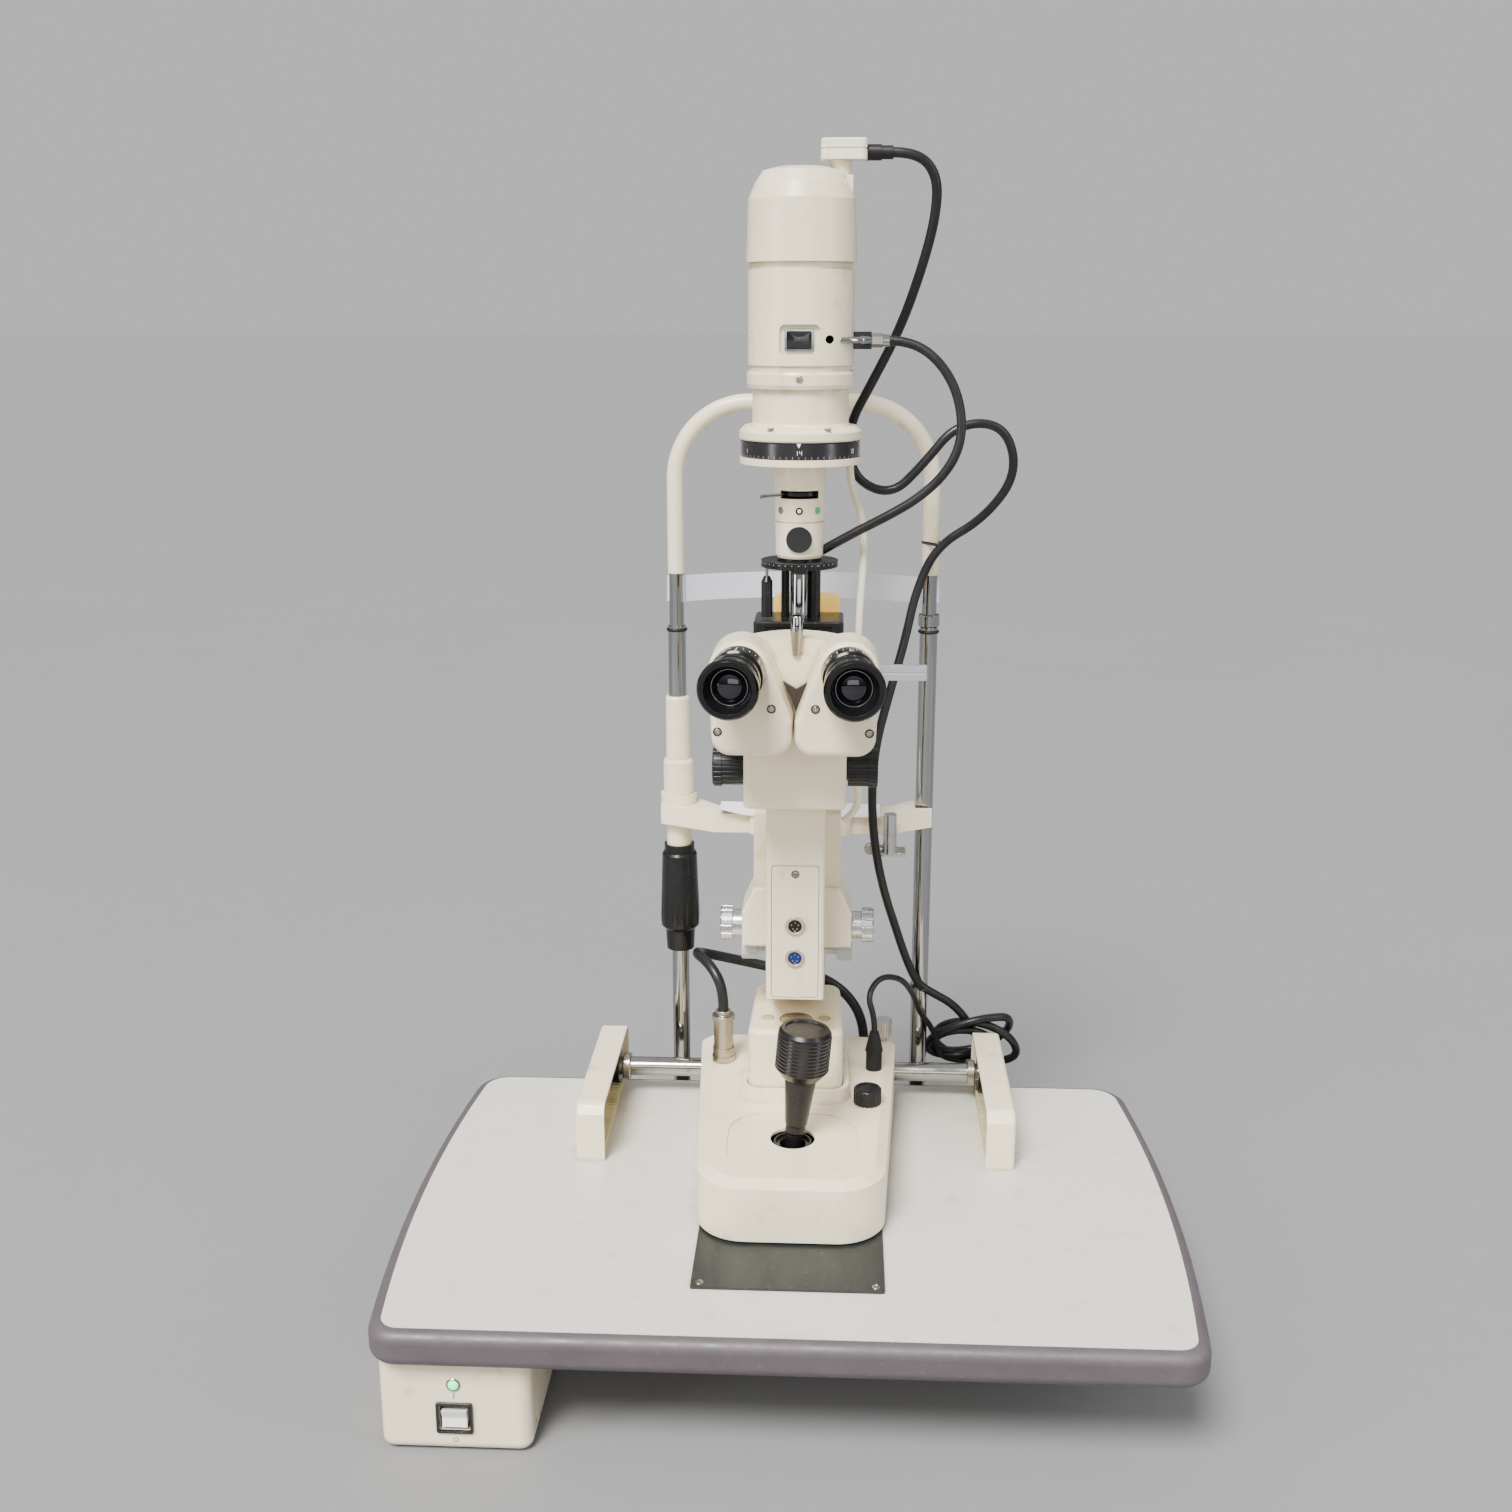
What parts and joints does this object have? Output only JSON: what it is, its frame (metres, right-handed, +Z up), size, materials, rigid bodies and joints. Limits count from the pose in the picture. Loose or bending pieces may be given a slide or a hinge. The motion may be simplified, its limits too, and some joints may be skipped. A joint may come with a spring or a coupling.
{
  "type": "slit lamp",
  "caption": "Slit lamp microscope on its instrument table top, with joystick base, binocular microscope, slit illumination tower, headrest and power unit",
  "frame": {"origin": "centre of the stand's bolt pattern on the table top's underside", "axes": "+Z up, +X to the right as the examiner sits, +Y towards the patient"},
  "size_m": [0.57, 0.427, 0.852],
  "materials": {
    "cream_enamel": "satin enamel, lightly orange-peeled",
    "table_laminate": "matt laminate",
    "table_edge": "soft PVC edge band",
    "glide_plate": "dark scuffed sheet",
    "rack": "machined teeth, greased",
    "chrome": "polished",
    "nickel": "satin nickel plate",
    "aluminium": "turned and knurled",
    "dark_steel": "blackened",
    "black_plastic": "semi-matt black",
    "black_rubber": "moulded grip",
    "white_plastic": "moulded",
    "clear_plastic": "frosted",
    "white_band": "frosted band",
    "mirror": "front-silvered",
    "glass": "clear lamp glass",
    "cord_rubber": "smooth cord jacket",
    "cream_hose": "smooth hose"
  },
  "bodies": {
    "table": {"table_top": "table_laminate", "table_edge_band": "table_edge", "glide_plate": "glide_plate", "rack_covers": "cream_enamel", "toothed_racks": "rack", "headrest_bracket": "dark_steel", "headrest_posts": "chrome", "headrest_arch": "cream_enamel", "forehead_band": "white_band", "power_unit_case": "cream_enamel", "supply_cord": "cord_rubber", "lamp_cord": "cord_rubber", "lamp_cord_coil": "cord_rubber"},
    "power_switch": {"power_switch_rocker": "white_plastic"},
    "chin_rest": {"chin_rest_frame": "cream_enamel", "chin_rest_sleeve": "cream_enamel", "fixation_holder": "black_plastic"},
    "chin_grip": {"chin_rest_grip": "black_rubber"},
    "cross_slide": {"axle_bearings": "nickel"},
    "axle_shaft": {"axle": "chrome", "axle_gears": "black_plastic"},
    "base": {"base_cover": "cream_enamel", "base_plate": "dark_steel", "elevation_guide": "chrome", "supply_connector": "nickel", "lamp_plug": "cord_rubber"},
    "base_lock": {"base_lock_knob": "aluminium"},
    "brightness": {"brightness_knob": "black_plastic"},
    "stick_gimbal": {"joystick_dish": "black_plastic"},
    "stick": {"joystick_stem": "black_rubber"},
    "stick_grip": {"joystick_grip": "black_rubber"},
    "pedestal": {"pedestal_block": "cream_enamel", "pivot_shaft": "cream_enamel"},
    "microscope": {"microscope_arm": "cream_enamel", "arm_service_cover": "cream_enamel", "microscope_body": "cream_enamel"},
    "filter_slide": {"filter_bar": "dark_steel"},
    "magnification": {"magnification_knobs": "black_plastic"},
    "prism_left": {"prism_housing_left": "cream_enamel"},
    "prism_right": {"prism_housing_right": "cream_enamel"},
    "ocular_left": {"eyepiece_left": "black_plastic"},
    "ocular_right": {"eyepiece_right": "black_plastic"},
    "illumination_carrier": {"illumination_arm": "cream_enamel"},
    "centring": {"centring_knobs": "clear_plastic"},
    "illumination": {"illumination_column": "cream_enamel", "mirror": "mirror", "mirror_box": "black_plastic", "lens_tube": "cream_enamel", "lamp_neck": "cream_enamel", "lamp_housing": "cream_enamel", "lamp_bulb": "glass", "lamp_cap": "cream_enamel", "lamp_connector": "white_plastic", "conduit": "cream_hose", "background_fibre": "cord_rubber", "fibre_clamp": "nickel"},
    "slit_width": {"slit_width_knobs": "aluminium"},
    "slit_length": {"slit_length_dial": "black_plastic"},
    "slit_rotation": {"slit_rotation_disc": "black_plastic"},
    "filter": {"filter_lever": "black_plastic"}
  },
  "joints": [
    {"name": "power_switch_rock", "type": "hinge", "parent": "table", "child": "power_switch", "pos_m": [-0.219, -0.184, -0.044], "axis": [1, 0, 0], "range_deg": [-12, 0]},
    {"name": "chin_rest_lift", "type": "slide", "parent": "table", "child": "chin_rest", "axis": [0, 0, 1], "range_m": [-0.02, 0.045]},
    {"name": "chin_grip_turn", "type": "hinge", "parent": "table", "child": "chin_grip", "pos_m": [-0.102, 0.2, 0.19], "axis": [0, 0, 1], "range_deg": [-725, 1625]},
    {"name": "base_in_out", "type": "slide", "parent": "table", "child": "cross_slide", "axis": [0, 1, 0], "range_m": [-0.078, 0.012], "deforming": ["lamp_cord", "supply_cord", "lamp_cord_coil"]},
    {"name": "axle_roll", "type": "hinge", "parent": "cross_slide", "child": "axle_shaft", "pos_m": [0, 0.158, 0.05], "axis": [1, 0, 0], "range_deg": [-45, 275]},
    {"name": "base_left_right", "type": "slide", "parent": "cross_slide", "child": "base", "axis": [1, 0, 0], "range_m": [-0.05, 0.05], "deforming": ["lamp_cord", "supply_cord", "lamp_cord_coil"]},
    {"name": "base_lock_turn", "type": "hinge", "parent": "base", "child": "base_lock", "pos_m": [0.071, 0.163, 0.085], "axis": [0, 0, 1], "range_deg": [0, 90]},
    {"name": "brightness_turn", "type": "hinge", "parent": "base", "child": "brightness", "pos_m": [0.056, 0.046, 0.085], "axis": [0, 0, 1], "range_deg": [-150, 150]},
    {"name": "stick_pitch", "type": "hinge", "parent": "base", "child": "stick_gimbal", "pos_m": [0, -0.014, 0.06], "axis": [1, 0, 0], "range_deg": [-8, 8]},
    {"name": "stick_roll", "type": "hinge", "parent": "stick_gimbal", "child": "stick", "pos_m": [0, -0.014, 0.06], "axis": [0, 1, 0], "range_deg": [-13, 5]},
    {"name": "elevation", "type": "slide", "parent": "base", "child": "pedestal", "axis": [0, 0, 1], "range_m": [-0.015, 0.015], "deforming": ["background_fibre", "lamp_cord", "supply_cord"]},
    {"name": "stick_grip_turn", "type": "hinge", "parent": "stick", "child": "stick_grip", "pos_m": [0, -0.014, 0.06], "axis": [0.0872, 0, 0.9962], "range_deg": [-545, 545]},
    {"name": "microscope_swing", "type": "hinge", "parent": "pedestal", "child": "microscope", "pos_m": [0, 0.155, 0], "axis": [0, 0, 1], "range_deg": [-60, 60]},
    {"name": "filter_slide_out", "type": "slide", "parent": "microscope", "child": "filter_slide", "axis": [1, 0, 0], "range_m": [0, 0.02]},
    {"name": "magnification_turn", "type": "hinge", "parent": "microscope", "child": "magnification", "pos_m": [0, 0, 0.356], "axis": [1, 0, 0], "continuous": true},
    {"name": "prism_left_turn", "type": "hinge", "parent": "microscope", "child": "prism_left", "pos_m": [-0.02, 0, 0.405], "axis": [0, 1, 0], "range_deg": [0, 19]},
    {"name": "prism_right_turn", "type": "hinge", "parent": "microscope", "child": "prism_right", "pos_m": [0.02, 0, 0.405], "axis": [0, 1, 0], "range_deg": [-19, 0]},
    {"name": "ocular_left_focus", "type": "hinge", "parent": "prism_left", "child": "ocular_left", "pos_m": [-0.036, -0.062, 0.437], "axis": [-0.0698, -0.9976, 0], "range_deg": [-180, 180]},
    {"name": "ocular_right_focus", "type": "hinge", "parent": "prism_right", "child": "ocular_right", "pos_m": [0.036, -0.062, 0.437], "axis": [0.0698, -0.9976, 0], "range_deg": [-180, 180]},
    {"name": "illumination_swing", "type": "hinge", "parent": "pedestal", "child": "illumination_carrier", "pos_m": [0, 0.155, 0], "axis": [0, 0, 1], "range_deg": [-60, 57], "deforming": ["background_fibre", "lamp_cord", "supply_cord"]},
    {"name": "centring_turn", "type": "hinge", "parent": "illumination_carrier", "child": "centring", "pos_m": [0, 0.085, 0.185], "axis": [1, 0, 0], "range_deg": [0, 180]},
    {"name": "illumination_tilt", "type": "hinge", "parent": "illumination_carrier", "child": "illumination", "pos_m": [0, 0.085, 0.207], "axis": [1, 0, 0], "range_deg": [0, 10], "deforming": ["background_fibre", "lamp_cord", "supply_cord"]},
    {"name": "slit_width_turn", "type": "hinge", "parent": "illumination_carrier", "child": "slit_width", "pos_m": [0, 0.085, 0.207], "axis": [1, 0, 0], "range_deg": [0, 180]},
    {"name": "slit_length_turn", "type": "hinge", "parent": "illumination", "child": "slit_length", "pos_m": [0, 0.085, 0.572], "axis": [0, 0, 1], "range_deg": [0, 300]},
    {"name": "slit_rotation_turn", "type": "hinge", "parent": "illumination", "child": "slit_rotation", "pos_m": [0, 0.085, 0.4885], "axis": [0, 0, 1], "range_deg": [-90, 90]},
    {"name": "filter_turn", "type": "hinge", "parent": "illumination", "child": "filter", "pos_m": [0, 0.085, 0.5394], "axis": [0, 0, 1], "range_deg": [0, 82]}
  ],
  "couplings": [
    {"joint": "chin_grip_turn", "follows": "chin_rest_lift", "rad_per_m": 628.32},
    {"joint": "axle_roll", "follows": "base_in_out", "rad_per_m": -60.606},
    {"joint": "stick_grip_turn", "follows": "elevation", "rad_per_m": 628.32},
    {"joint": "prism_right_turn", "follows": "prism_left_turn", "ratio": -1}
  ]
}
